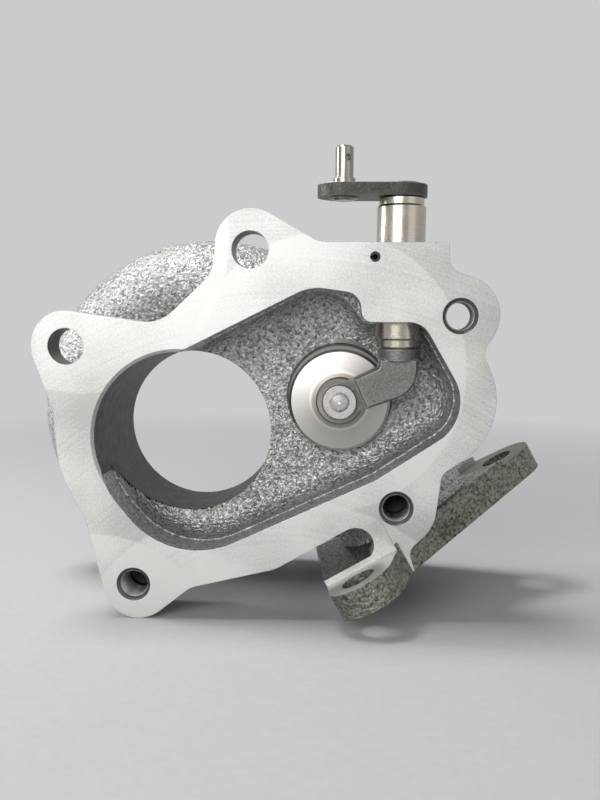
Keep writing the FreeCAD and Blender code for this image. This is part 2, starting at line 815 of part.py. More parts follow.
def casting():
    """Return the one-piece casting with everything that is machined into it."""
    neck = dim("wastegate_radius") + dim("cast_wall")
    outside = stack("cast_outside", [
        notched_flange(),
        pocket_shell(),
        bushing_boss(),
        screw_boss("web"),
        screw_boss("foot"),
        inlet_flange(),
        wheel_body(),
        gas_path("scroll_wall", SIZES["cast_wall"], -3.0),
        cylinder("wastegate_neck", neck, 22.0, ("valve_x", dim("pocket_depth") + 0.5, "valve_z")),
    ])
    opened = cut("cast_with_pocket", outside, pocket())
    seated = stack("cast_with_seat", [
        opened,
        cone("valve_seat", seat_radius, seat_radius + 1.0, dim("seat_height") + 0.5,
             ("valve_x", seat_y, "valve_z")),
    ])
    passages = [
        wheel_space(),
        shroud(),
        gas_path("gas_space", 0.0, 2.0),
        cylinder("wastegate_port", "wastegate_radius", dim("pocket_depth") + 1.0,
                 ("valve_x", seat_y - 1.0, "valve_z")),
    ]
    holes = [
        cylinder("bushing_hole", "bush_radius", dim("boss_top") - dim("boss_bottom") + 6.0,
                 ("shaft_x", "shaft_y", dim("boss_bottom") - 3.0), V(0, 0, 1)),
        cylinder("lock_pin_hole", "lock_pin_radius", dim("lock_pin_length") + dim("lock_pin_set") + 1.0,
                 ("lock_pin_x", -1.0, "lock_pin_z")),
        cylinder("dowel_hole", "dowel_radius", dim("dowel_length"),
                 (0, dim("back_face") + dim("dowel_stand") - dim("dowel_length"), dowel_height())),
        clear_hole("left"),
        clear_hole("top"),
    ]
    holes += tapped_hole("right", True) + tapped_hole("web", False) + tapped_hole("foot", False)
    holes.append(front_seat())
    for name in INLET_EARS:
        holes.append(inlet_cylinder(name + "_stud_hole", name, "inlet_hole_radius", -1.0, 14.0))
    for name in INLET_EARS[1:]:
        spot = dim("inlet_ear_radius") + 3.5
        holes.append(inlet_cylinder(name + "_nut_seat", name, spot, "inlet_seat_thick", 6.0))
    return cut("housing", carve("passage_cut", seated, passages), fuse("hole_spaces", holes))


def dowel_height():
    """Return the dowel's height, midway across the band's rear face."""
    return (dim("register_radius") + dim("band_radius")) * 0.5


# Bushing and pins of the housing

lever_bottom = dim("bush_top") + dim("end_play")
lever_top = lever_bottom + dim("lever_thick")
hub_top = dim("bush_bottom") - dim("end_play")


def wastegate_bushing():
    """Return the pressed bushing with its necked ends and the groove for its lock pin."""
    radius = dim("bush_radius")
    neck = radius - dim("bush_neck")
    low, high = dim("bush_bottom"), dim("bush_top")
    step = dim("bush_neck_length")
    profile = [
        (bush_bore, low),
        (neck, low),
        (neck, low + step),
        (radius, low + step + dim("bush_neck")),
        (radius, high - step - dim("bush_neck")),
        (neck, high - step),
        (neck, high),
        (bush_bore, high),
    ]
    sleeve = turned("bushing_sleeve", profile, ("shaft_x", "shaft_y", 0))
    groove = cylinder("bushing_groove", "lock_pin_radius", dim("shaft_y") + 12.0,
                      ("lock_pin_x", 0, "lock_pin_z"))
    return cut("wastegate_bushing", sleeve, groove)


def bushing_lock_pin():
    """Return the slotted spring pin that keeps the bushing in its boss."""
    base = ("lock_pin_x", "lock_pin_set", "lock_pin_z")
    rod = cylinder("lock_pin_rod", "lock_pin_radius", "lock_pin_length", base)
    slit = doc.addObject("Part::Box", "lock_pin_slit")
    reach = dim("lock_pin_radius") + 0.5
    width = dim("lock_pin_slit")
    slit.setExpression("Length", reach.text)
    slit.setExpression("Width", (dim("lock_pin_length") + 2.0).text)
    slit.setExpression("Height", width.text)
    place(slit, (dim("lock_pin_x") - reach, -1.0, dim("lock_pin_z") - width * 0.5))
    bore = cylinder("lock_pin_hollow", "lock_pin_bore", dim("lock_pin_length") + 2.0,
                    ("lock_pin_x", -1.0, "lock_pin_z"))
    return cut("bushing_lock_pin", rod, fuse("lock_pin_space", [bore, slit]))


def locating_pin():
    """Return the dowel that stops the bearing housing from turning in its band."""
    radius = dim("dowel_radius")
    length = dim("dowel_length")
    nose = 0.4
    profile = [(0, 0), (radius, 0), (radius, length - nose), (radius - nose, length), (0, length)]
    rear = dim("back_face") + dim("dowel_stand") - length
    return turned("locating_pin", profile, (0, rear, dowel_height()), V(0, 1, 0))


# Swing arm and valve

ARM = math.radians(SIZES["arm_angle_deg"])


def arm_point(along, across):
    """Return X and Z of a point along the arm's bar, measured from the valve's axis."""
    x = dim("valve_x") + dim(along) * math.cos(ARM) - dim(across) * math.sin(ARM)
    z = hang_z + dim(along) * math.sin(ARM) + dim(across) * math.cos(ARM)
    return x, z


def arm_reach(x, across):
    """Return how far along the bar a point at X lies."""
    return (dim(x) - dim("valve_x") + dim(across) * math.sin(ARM)) * (1.0 / math.cos(ARM))


def arm_shaft():
    """Return the arm's round hub and the shaft that rises from it."""
    hub, bevel, shaft = dim("hub_radius"), dim("hub_bevel"), dim("shaft_radius")
    low = dim("hub_bottom")
    profile = [
        (0, low),
        (hub - bevel, low),
        (hub, low + bevel),
        (hub, hub_top - bevel),
        (hub - bevel, hub_top),
        (shaft, hub_top),
        (shaft, lever_top + dim("weld_height")),
        (0, lever_top + dim("weld_height")),
    ]
    return turned("arm_shaft", profile, ("shaft_x", "shaft_y", 0))


def swing_arm():
    """Return the arm and its shaft, one forging."""
    half = dim("arm_width") * 0.5
    right = dim("shaft_x") + dim("hub_radius") - 0.75
    left = dim("shaft_x") - dim("hub_radius") + 0.3
    top = dim("hub_bottom") + 1.0
    elbow = dim("elbow_radius")
    swell = 1.0
    inner = 1.5
    step = dim("washer_radius") + 1.5
    elbow_across = elbow - half - swell
    elbow_at = arm_point(arm_reach(right - elbow, elbow_across), elbow_across)
    inner_at = arm_point(arm_reach(left - inner, half + inner), half + inner)
    outline = [
        (left, top, 0),
        (right, top, 0),
        (*elbow_at, elbow),
        (*arm_point(step, -half), 0),
        (*arm_point(step, half), 0),
        (*inner_at, -inner),
    ]
    bar_sketch = outline_sketch("arm_outline", outline, (0, "arm_front", 0))
    bar = extrude("arm_bar", bar_sketch, dim("arm_back") - dim("arm_front"))
    bevelled_bar = bevelled("arm_bevelled", bar, dim("arm_front"), dim("arm_bevel"))
    eye_outline = [
        ("valve_x", hang_z, "eye_radius"),
        (*arm_point(step + 2.0, 0.0), half - 0.6),
    ]
    eye_sketch = outline_sketch("eye_outline", eye_outline, (0, "eye_front", 0))
    eye = extrude("arm_eye", eye_sketch, dim("arm_back") - dim("eye_front"))
    hole = cylinder("eye_hole", dim("stud_radius") + dim("stud_clearance"), 12.0,
                    ("valve_x", "arm_front", hang_z))
    return cut("swing_arm", fuse("arm_forging", [bevelled_bar, eye, arm_shaft()]), hole)


hub_height = seat_y - dim("arm_back") - dim("valve_play")
washer_low = seat_y - dim("eye_front") + dim("valve_play") * 0.4
washer_high = washer_low + dim("washer_thick")


def valve_disc():
    """Return the valve disc with its coned face, its hub and its peened stud."""
    radius = dim("valve_radius")
    chamfer = dim("valve_chamfer")
    rim = dim("valve_rim")
    stud = dim("stud_radius")
    tip = washer_high + dim("stud_stand")
    profile = [
        (0, 0),
        (radius, 0),
        (radius, rim - chamfer),
        (radius - chamfer, rim),
        ("valve_hub_radius", rim + dim("valve_cone")),
        (dim("valve_hub_radius") - 0.4, hub_height),
        (stud, hub_height),
        (stud, tip - 0.6),
        (stud - 0.8, tip - 0.1),
        (0, tip),
    ]
    return turned("valve_disc", profile, ("valve_x", seat_y, hang_z), V(0, -1, 0))


def valve_washer():
    """Return the washer that the stud's end is peened over."""
    inner, outer = dim("stud_radius"), dim("washer_radius")
    edge = 0.3
    profile = [
        (inner, washer_low),
        (outer - edge, washer_low),
        (outer, washer_low + edge),
        (outer, washer_high - edge),
        (outer - edge, washer_high),
        (inner, washer_high),
    ]
    return turned("valve_washer", profile, ("valve_x", seat_y, hang_z), V(0, -1, 0))


# Lever outside the housing

pin_x = dim("shaft_x") - dim("pin_offset")
shank = dim("pin_radius") - 0.5


def wastegate_lever():
    """Return the lever plate between the shaft's end and the actuator pin."""
    outline = [
        ("shaft_x", "shaft_y", "lever_radius"),
        (pin_x, "shaft_y", "pin_eye_radius"),
    ]
    sketch = outline_sketch("lever_outline", outline, (0, 0, lever_bottom), LEVEL)
    plate = extrude("lever_plate", sketch, "lever_thick", V(0, 0, 1))
    holes = [
        cylinder("lever_shaft_hole", "shaft_radius", dim("lever_thick") + 2.0,
                 ("shaft_x", "shaft_y", lever_bottom - 1.0), V(0, 0, 1)),
        cylinder("lever_pin_hole", shank, dim("lever_thick") + 2.0,
                 (pin_x, "shaft_y", lever_bottom - 1.0), V(0, 0, 1)),
    ]
    return cut("wastegate_lever", plate, fuse("lever_holes", holes))


def lever_pin():
    """Return the riveted actuator pin with its collar and the cross hole for a clip."""
    radius = dim("pin_radius")
    foot = lever_bottom
    top = lever_top + dim("pin_height")
    nose = 0.5
    head = dim("rivet_radius")
    profile = [
        (0, foot - dim("rivet_height")),
        (head - 1.2, foot - dim("rivet_height")),
        (head, foot - 0.3),
        (head, foot),
        (shank, foot),
        (shank, lever_top),
        ("pin_collar_radius", lever_top),
        ("pin_collar_radius", lever_top + dim("pin_collar")),
        (radius, lever_top + dim("pin_collar")),
        (radius, top - nose),
        (radius - nose, top),
        (0, top),
    ]
    rod = turned("lever_pin_rod", profile, (pin_x, "shaft_y", 0))
    turn = math.radians(SIZES["pin_hole_turn_deg"])
    through = V(math.sin(turn), -math.cos(turn), 0)
    reach = SIZES["pin_radius"] + 2.0
    base = (pin_x - through.x * reach, dim("shaft_y") - through.y * reach, top - dim("pin_hole_drop"))
    hole = cylinder("lever_pin_cross_hole", "pin_hole_radius", 2.0 * reach, base, through)
    return cut("lever_pin", rod, hole)


def lever_weld():
    """Return the weld bead that holds the lever on the shaft's end."""
    inner = dim("shaft_radius")
    width, height = dim("weld_width"), dim("weld_height")
    profile = [
        (inner, lever_top),
        (inner + width, lever_top),
        (inner + width * 0.7, lever_top + height * 0.7),
        (inner, lever_top + height),
    ]
    return turned("lever_weld", profile, ("shaft_x", "shaft_y", 0))


# Build, check and write every piece

def move_back(finished):
    """Move a finished piece back by the housing's depth, from outlet face to rear face."""
    bound = {path.lstrip("."): text for path, text, *_ in finished.ExpressionEngine}
    depth = bound.get("Placement.Base.y", "0")
    finished.setExpression(".Placement.Base.y", "%s - Sizes.back_face" % depth)


PIECES = {
    "turbine_housing": casting(),
    "wastegate_bushing": wastegate_bushing(),
    "bushing_lock_pin": bushing_lock_pin(),
    "locating_pin": locating_pin(),
    "swing_arm": swing_arm(),
    "valve_disc": valve_disc(),
    "valve_washer": valve_washer(),
    "wastegate_lever": wastegate_lever(),
    "lever_pin": lever_pin(),
    "lever_weld": lever_weld(),
}
for finished in PIECES.values():
    move_back(finished)
doc.recompute()

for item in doc.Objects:
    if "Invalid" in item.State or "Error" in item.State:
        raise RuntimeError("%s did not build: %s" % (item.Label, item.State))

os.makedirs("parts", exist_ok=True)
for label, piece in PIECES.items():
    piece.Label = label
    shape = piece.Shape
    if shape.isNull() or not shape.isValid():
        raise RuntimeError("%s has no valid shape" % label)
    box = shape.BoundBox
    print("%-20s %d solid, %8.0f mm3, X %.1f..%.1f Y %.1f..%.1f Z %.1f..%.1f" % (
        label, len(shape.Solids), shape.Volume,
        box.XMin, box.XMax, box.YMin, box.YMax, box.ZMin, box.ZMax))
    shape.exportStep("parts/%s.step" % label)
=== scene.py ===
import math

import bpy
import bmesh
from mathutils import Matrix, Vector


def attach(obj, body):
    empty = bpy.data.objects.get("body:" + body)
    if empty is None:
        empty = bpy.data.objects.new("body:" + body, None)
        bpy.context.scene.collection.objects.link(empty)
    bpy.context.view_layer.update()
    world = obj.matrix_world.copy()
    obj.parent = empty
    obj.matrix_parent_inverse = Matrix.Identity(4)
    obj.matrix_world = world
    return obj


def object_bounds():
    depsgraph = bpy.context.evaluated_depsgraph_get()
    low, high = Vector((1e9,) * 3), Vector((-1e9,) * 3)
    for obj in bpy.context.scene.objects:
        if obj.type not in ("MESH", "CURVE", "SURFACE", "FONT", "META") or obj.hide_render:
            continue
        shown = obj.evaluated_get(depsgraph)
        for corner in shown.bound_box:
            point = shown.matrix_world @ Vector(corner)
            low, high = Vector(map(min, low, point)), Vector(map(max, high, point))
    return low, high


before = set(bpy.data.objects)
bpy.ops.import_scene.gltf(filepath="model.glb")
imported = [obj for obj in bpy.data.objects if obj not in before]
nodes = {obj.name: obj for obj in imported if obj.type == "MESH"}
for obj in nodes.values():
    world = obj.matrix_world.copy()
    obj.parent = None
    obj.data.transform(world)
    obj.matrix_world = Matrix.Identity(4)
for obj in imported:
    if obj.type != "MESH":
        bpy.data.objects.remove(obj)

cad_box = [list(corner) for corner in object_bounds()]
MM = 0.001

# Places on the object in mm: X and Z as in the frame, and depth from the outlet face backwards

OUTLET_Y = -80.0
INLET_TILT = math.radians(30.0)
ALONG = Vector((math.cos(INLET_TILT), 0, math.sin(INLET_TILT)))
OUTWARD = Vector((math.sin(INLET_TILT), 0, -math.cos(INLET_TILT)))

VALVE_X, VALVE_Z = 49.0, 10.8
VALVE_RADIUS = 16.4
SEAT_Z = 11.8
SHAFT_X, SHAFT_DEPTH = 67.2, 12.5
LOCK_PIN_X, LOCK_PIN_Z = 59.0, 54.7
BORE_RADIUS = 26.5
BOSS_TOP_Z = 58.9

# Tapped holes: X, Z and the depth where the thread ends. Plain holes: X and Z.
TAPPED = {"right": (84.5, 37.6, 11.6), "web": (66.75, -20.73, 15.5), "foot": (-15.14, -46.01, 15.5)}
PLAIN = ((-34.15, 27.99), (22.03, 56.66))

# Inlet flange: how far its face and its ears' backs lie outward, and each hole along it and in depth
INLET_FACE = 71.4
EAR_BACK = 62.7
FRONT_EAR = (27.5, -9.3)
RIGHT_EAR = (85.0, 50.0)
REAR_EAR = (23.0, 68.0)
SPOT_FACE_RADIUS = 15.3

THREAD_START = 0.7
THREAD_PITCH = 1.25
THREAD_WALL = 4.38
THREAD_CREST = 4.02
THREAD_STEPS = 40
THREAD_RUNOUT = 12.0

# Light levels and the floor's fade into the background, from and to a distance in metres

BACKGROUND = (0.60, 0.60, 0.605)
AMBIENT = (0.16, 0.165, 0.175)
FADE_FROM, FADE_TO = 0.14, 0.62


# Node graph helpers

class Graph:
    """A material's node tree with short calls for the nodes used here."""

    def __init__(self, name):
        self.material = bpy.data.materials.new(name)
        self.material.use_nodes = True
        self.tree = self.material.node_tree
        self.shader = self.tree.nodes["Principled BSDF"]
        self.coords = self.node("ShaderNodeTexCoord").outputs["Object"]

    def node(self, kind, **settings):
        made = self.tree.nodes.new(kind)
        for key, value in settings.items():
            setattr(made, key, value)
        return made

    def link(self, source, target):
        self.tree.links.new(source, target)

    def feed(self, node, index, value):
        """Give an input either another node's output or a plain value."""
        if hasattr(value, "is_output"):
            self.link(value, node.inputs[index])
        elif value is not None:
            node.inputs[index].default_value = value

    def feed_colour(self, node, index, value):
        self.feed(node, index, value if hasattr(value, "is_output") else (*value, 1.0))

    def math(self, operation, a, b=None, clamp=False):
        made = self.node("ShaderNodeMath", operation=operation, use_clamp=clamp)
        self.feed(made, 0, a)
        self.feed(made, 1, b)
        return made.outputs[0]

    def total(self, *parts):
        """Add up pairs of a value and its weight."""
        whole = None
        for value, weight in parts:
            part = self.math("MULTIPLY", value, weight)
            whole = part if whole is None else self.math("ADD", whole, part)
        return whole

    def swing(self, noise, reach):
        """Return a noise as a change round zero, of half the reach each way at most."""
        return self.math("MULTIPLY", self.math("SUBTRACT", noise, 0.5), reach)

    def vector(self, operation, a, b=None):
        made = self.node("ShaderNodeVectorMath", operation=operation)
        self.feed(made, 0, a)
        self.feed(made, 1, b)
        single = operation in ("LENGTH", "DOT_PRODUCT")
        return made.outputs["Value" if single else "Vector"]

    def noise(self, scale, detail=3.0, rough=0.55, coords=None, distortion=0.0):
        made = self.node("ShaderNodeTexNoise")
        self.link(coords or self.coords, made.inputs["Vector"])
        made.inputs["Scale"].default_value = scale
        made.inputs["Detail"].default_value = detail
        made.inputs["Roughness"].default_value = rough
        made.inputs["Distortion"].default_value = distortion
        return made.outputs["Fac"]

    def streaks(self, distance, density, detail=3.0, rough=0.6):
        """Return noise that changes along one distance only, as tool marks do."""
        line = self.node("ShaderNodeCombineXYZ")
        self.link(self.math("MULTIPLY", distance, density), line.inputs["X"])
        return self.noise(1.0, detail, rough, line.outputs[0])

    def cells(self, scale):
        made = self.node("ShaderNodeTexVoronoi", feature="SMOOTH_F1")
        self.link(self.coords, made.inputs["Vector"])
        made.inputs["Scale"].default_value = scale
        return made.outputs["Distance"]

    def ramp(self, factor, stops):
        made = self.node("ShaderNodeValToRGB")
        elements = made.color_ramp.elements
        while len(elements) < len(stops):
            elements.new(0.5)
        for element, (place, colour) in zip(elements, stops):
            element.position = place
            element.color = (*colour, 1.0)
        self.link(factor, made.inputs["Fac"])
        return made.outputs["Color"]

    def scale(self, factor, low, high, new_low, new_high):
        made = self.node("ShaderNodeMapRange")
        self.link(factor, made.inputs["Value"])
        made.inputs["From Min"].default_value = low
        made.inputs["From Max"].default_value = high
        made.inputs["To Min"].default_value = new_low
        made.inputs["To Max"].default_value = new_high
        return made.outputs["Result"]

    def mix(self, factor, a, b, blend="MIX"):
        """Mix two colours. The colour mode of this node has its inputs at 0, 6 and 7."""
        made = self.node("ShaderNodeMix", data_type="RGBA", blend_type=blend)
        self.feed(made, 0, factor)
        self.feed_colour(made, 6, a)
        self.feed_colour(made, 7, b)
        return made.outputs[2]

    def soft_edge(self, radius, samples=6):
        """Return a normal that rounds edges by a radius in mm."""
        made = self.node("ShaderNodeBevel", samples=samples)
        made.inputs["Radius"].default_value = radius * MM
        return made.outputs["Normal"]

    def edge_highlight_mask(self, radius):
        """Return a mask that is 1 on edges, where a rounded normal leaves the true one; it marks
        where a highlight is painted.
        """
        flat, edge = 0.998, 0.93
        true = self.node("ShaderNodeNewGeometry").outputs["Normal"]
        same = self.vector("DOT_PRODUCT", self.soft_edge(radius), true)
        return self.scale(same, flat, edge, 0.0, 1.0)

    def bump(self, height, distance, strength, normal=None):
        """Return a normal bent by a height, whose full step is a distance in mm."""
        made = self.node("ShaderNodeBump")
        made.inputs["Strength"].default_value = strength
        made.inputs["Distance"].default_value = distance * MM
        self.link(height, made.inputs["Height"])
        if normal is not None:
            self.link(normal, made.inputs["Normal"])
        return made.outputs["Normal"]

    def place_along(self, axis):
        made = self.node("ShaderNodeSeparateXYZ")
        self.link(self.coords, made.inputs[0])
        return made.outputs[axis]

    def away_from(self, x, z):
        """Return the vector from an axis along Y, at X and Z in mm."""
        away = self.vector("SUBTRACT", self.coords, (x * MM, 0.0, z * MM))
        return self.vector("MULTIPLY", away, (1.0, 0.0, 1.0))

    def distance_from(self, x, z):
        return self.vector("LENGTH", self.away_from(x, z))

    def rings(self, distance, pitch):
        """Return slightly uneven sine rings of a pitch in mm over a distance."""
        turns = self.math("MULTIPLY", distance, 2.0 * math.pi / (pitch * MM))
        uneven = self.math("MULTIPLY", self.noise(90.0), 0.6)
        return self.math("SINE", self.math("ADD", turns, uneven))

    def finish(self, colour, roughness, normal, metallic):
        self.feed_colour(self.shader, "Base Color", colour)
        self.feed(self.shader, "Roughness", roughness)
        self.feed(self.shader, "Metallic", metallic)
        self.link(normal, self.shader.inputs["Normal"])
        return self.material


def shaded(colour, factor):
    """Return a colour made darker or lighter."""
    return tuple(min(1.0, value * factor) for value in colour)


def seen_directly(tree):
    """Return 1 for what the camera, a reflection or glass shows, and 0 for what lights the object."""
    path = tree.nodes.new("ShaderNodeLightPath")
    either = path.outputs["Is Camera Ray"]
    for ray in ("Is Glossy Ray", "Is Transmission Ray"):
        larger = tree.nodes.new("ShaderNodeMath")
        larger.operation = "MAXIMUM"
        tree.links.new(either, larger.inputs[0])
        tree.links.new(path.outputs[ray], larger.inputs[1])
        either = larger.outputs[0]
    return either


# Materials

def cast_skin(name, dark, light, grain=1.0, rough=(0.28, 0.46), edge=0.5):
    """Sand-cast, shot-blasted iron: coarse pebbles, with painted highlights on the crests and painted
    shade in the pits.
    """
    g = Graph(name)
    g.feed(g.shader, "Specular IOR Level", 0.6)
    pebble = g.math("SUBTRACT", 1.0, g.cells(1000.0))
    coarse = g.noise(950.0, 1.0, 0.5, distortion=0.8)
    fine = g.noise(2600.0, 2.0, 0.6)
    tone = g.noise(34.0, 4.0, 0.6)
    height = g.total((pebble, 0.40), (coarse, 0.75), (fine, 0.10))
    # Painted light on the grain: the colour follows the height, lighter on the crests as a painted
    # highlight and darker in the pits as painted shade, with tone that varies at random.
    crest_highlight_pit_shade = g.scale(height, 0.44, 0.80, 0.0, 1.0)
    crest_highlight_pit_shade = g.math("ADD", crest_highlight_pit_shade, g.swing(tone, 0.6), clamp=True)
    middle = tuple((low + high) * 0.5 for low, high in zip(dark, light))
    colour = g.ramp(crest_highlight_pit_shade, [(0.05, dark), (0.50, middle), (0.95, light)])
    wide = g.bump(tone, 1.1, 0.3, g.soft_edge(edge))
    normal = g.bump(height, 0.95 * grain, 1.0, wide)
    smooth, dull = rough
    return g.finish(colour, g.scale(coarse, 0.3, 0.7, dull, smooth), normal, metallic=0.6)


def milled(name, arcs, tone=(0.60, 0.597, 0.575), rough=0.48):
    """Face-milled iron: fine satin grain, with a few broad arcs where the cutter's passes meet.

    Each arc is X, Z and radius in mm, and its share of the step in tone.
    """
    g = Graph(name)
    fine = g.noise(1700.0, 3.0, 0.7)
    speck = g.noise(4200.0, 2.0, 0.6)
    cloud = g.noise(30.0, 3.0, 0.5)
    soft = 0.35
    step = None
    for x, z, radius, share in arcs:
        distance = g.math("ADD", g.distance_from(x, z), g.swing(cloud, 2.0 * MM))
        inside = g.scale(distance, (radius - soft) * MM, (radius + soft) * MM, share, 0.0)
        step = inside if step is None else g.math("ADD", step, inside)
    first_x, first_z = arcs[0][:2]
    sweep = g.streaks(g.distance_from(first_x, first_z), 900.0)
    light = g.total((cloud, 0.42), (fine, 0.30), (sweep, 0.14), (speck, 0.14), (step, 0.12))
    colour = g.ramp(light, [(0.44, shaded(tone, 0.76)), (0.60, shaded(tone, 1.20))])
    roughness = g.scale(cloud, 0.3, 0.7, rough - 0.04, rough + 0.06)
    roughness = g.math("ADD", roughness, g.math("MULTIPLY", step, -0.05))
    normal = g.bump(g.total((fine, 0.7), (sweep, 0.5)), 0.02, 0.7, g.soft_edge(0.3, 4))
    return g.finish(colour, roughness, normal, metallic=0.80)


def turned_metal(name, tone, rough, pitch, depth, metallic=1.0, centre=None, along="Y"):
    """Turned metal: tool lines of a pitch and depth in mm.

    They are rings round a centre (X and Z in mm), or else bands along an axis.
    """
    g = Graph(name)
    distance = g.distance_from(*centre) if centre else g.place_along(along)
    uneven = g.streaks(distance, 3200.0)
    scuff = g.noise(240.0, 5.0, 0.7)
    mixed = g.total((uneven, 0.6), (scuff, 0.4))
    colour = g.ramp(mixed, [(0.3, shaded(tone, 0.80)), (0.7, shaded(tone, 1.10))])
    height = g.total((g.rings(distance, pitch), 0.4), (uneven, 1.0))
    normal = g.bump(height, depth, 0.8, g.soft_edge(0.25, 4))
    roughness = g.scale(scuff, 0.3, 0.7, rough - 0.05, rough + 0.08)
    return g.finish(colour, roughness, normal, metallic)


def dark_forging(name, base, bright, grain, rough, edge):
    """Dark oxide skin, with fine grain specks painted lighter as glints and a painted highlight on
    the edges.
    """
    g = Graph(name)
    fine = g.noise(1600.0, 3.0, 0.65)
    tone = g.noise(150.0, 4.0, 0.6)
    mixed = g.total((tone, 0.2), (fine, 0.8))
    # Fine grain as specks of colour, pushed lighter as painted glints.
    skin = g.ramp(mixed, [(0.40, shaded(base, 0.75)), (0.64, shaded(base, 1.4))])
    patchy = g.scale(tone, 0.32, 0.6, 0.35, 1.0)
    # Painted highlight on the edges, patchy at random.
    mask = g.math("MULTIPLY", g.edge_highlight_mask(edge), patchy, clamp=True)
    mask = g.math("MULTIPLY", mask, 0.9, clamp=True)
    normal = g.bump(g.total((fine, 0.6), (tone, 1.0)), 0.34 * grain, 0.9, g.soft_edge(edge))
    roughness = g.scale(fine, 0.3, 0.7, rough, rough + 0.15)
    return g.finish(g.mix(mask, skin, bright), roughness, normal, metallic=0.7)


def valve_face(name):
    """Coned valve face: turned rings and a grey-brown heat ring round the hub."""
    g = Graph(name)
    distance = g.distance_from(VALVE_X, VALVE_Z)
    share = g.math("DIVIDE", distance, VALVE_RADIUS * MM)
    place = g.math("ADD", share, g.swing(g.noise(90.0, 3.0, 0.6), 0.05))
    tint = g.ramp(place, [
        (0.00, (0.42, 0.410, 0.390)),
        (0.34, (0.37, 0.357, 0.332)),
        (0.42, (0.27, 0.248, 0.222)),
        (0.53, (0.30, 0.278, 0.250)),
        (0.56, (0.60, 0.588, 0.560)),
        (0.60, (0.46, 0.446, 0.420)),
        (1.00, (0.55, 0.540, 0.518)),
    ])
    lines = g.streaks(distance, 3600.0, 4.0, 0.7)
    contrast = g.ramp(lines, [(0.3, (0.34, 0.33, 0.32)), (0.7, (0.70, 0.69, 0.67))])
    colour = g.mix(0.45, tint, contrast, "OVERLAY")
    normal = g.bump(lines, 0.006, 0.7, g.soft_edge(0.3, 4))
    around = g.vector("CROSS_PRODUCT", g.away_from(VALVE_X, VALVE_Z), (0.0, 1.0, 0.0))
    g.feed(g.shader, "Tangent", g.vector("NORMALIZE", around))
    g.feed(g.shader, "Anisotropic", 0.5)
    return g.finish(colour, g.scale(lines, 0.3, 0.7, 0.30, 0.40), normal, metallic=0.95)


def floor_paint():
    """Pale floor that keeps the object's shadow and fades into the plain background."""
    g = Graph("floor_plain")
    grain = g.noise(320.0, 3.0, 0.6)
    colour = g.ramp(grain, [(0.3, (0.52, 0.52, 0.524)), (0.7, (0.55, 0.55, 0.554))])
    g.finish(colour, 0.8, g.bump(grain, 0.05, 0.2), metallic=0.0)
    glow = g.node("ShaderNodeEmission")
    g.feed_colour(glow, "Color", BACKGROUND)
    g.feed(glow, "Strength", 1.0)
    distance = g.vector("LENGTH", g.vector("MULTIPLY", g.coords, (1.0, 1.0, 0.0)))
    faded = g.scale(distance, FADE_FROM, FADE_TO, 0.0, 1.0)
    blend = g.node("ShaderNodeMixShader")
    g.link(g.math("MULTIPLY", faded, seen_directly(g.tree)), blend.inputs["Fac"])
    g.link(g.shader.outputs["BSDF"], blend.inputs[1])
    g.link(glow.outputs[0], blend.inputs[2])
    g.link(blend.outputs[0], g.tree.nodes["Material Output"].inputs["Surface"])
    return g.material


# Casting skins: the first colour is painted shade in the pits, the second a painted highlight on the
# crests.
CAST = cast_skin("casting_skin", (0.19, 0.19, 0.180), (0.60, 0.596, 0.576))
# Olive skin of the inlet flange, painted darker than the rest of the casting as shade where the light
# grazes it.
CAST_INLET_PAINTED_SHADE = cast_skin("casting_inlet_skin_painted_shade", (0.060, 0.058, 0.046), (0.27, 0.263, 0.222),
                       grain=0.75, rough=(0.30, 0.50))
INLET_DRILLED = cast_skin("drilled_inlet", (0.07, 0.066, 0.058), (0.34, 0.33, 0.30),
                          grain=0.35, rough=(0.35, 0.5), edge=0.3)

OUTLET_ARCS = (
    (31.0, -92.0, 74.0, 0.6),
    (-28.0, -70.0, 40.0, 0.6),
    (45.0, 20.0, 42.0, 0.5),
    (-30.0, 60.0, 46.0, 0.5),
)
SIDE_ARCS = ((60.0, -120.0, 90.0, 0.5),)
MILLED = milled("milled_face", OUTLET_ARCS)
MILLED_SIDE = milled("milled_side", SIDE_ARCS, (0.50, 0.495, 0.47), 0.44)
# Painted shade: a dark copy of the milled side for the right ear's back, standing for the dark
# reflection it shows.
EAR_FACE_PAINTED_SHADE = milled("ear_face_painted_shade", SIDE_ARCS, (0.17, 0.165, 0.145), 0.46)

# Painted shade: the walls of the bore, the throat and the wheel opening are coloured near black,
# standing for the shade inside them.
BORED_PAINTED_SHADE = turned_metal("bored_wall_painted_shade", (0.042, 0.041, 0.037), 0.45, 0.3, 0.008, metallic=0.9)
DRILLED = turned_metal("drilled_wall", (0.17, 0.167, 0.155), 0.38, 0.5, 0.02, metallic=0.95)
REAR = turned_metal("turned_rear", (0.52, 0.515, 0.50), 0.36, 0.35, 0.008, centre=(0.0, 0.0))
# Painted shadow: the valve's seat ring and its port are turned metal coloured dark, standing for the
# shadow round the disc's edge.
SEAT_PAINTED_SHADOW = turned_metal("turned_seat_painted_shadow", (0.22, 0.215, 0.20), 0.38, 0.3, 0.006, centre=(VALVE_X, SEAT_Z))

BUSH = turned_metal("bushing_steel", (0.50, 0.465, 0.40), 0.24, 0.16, 0.004, along="Z")
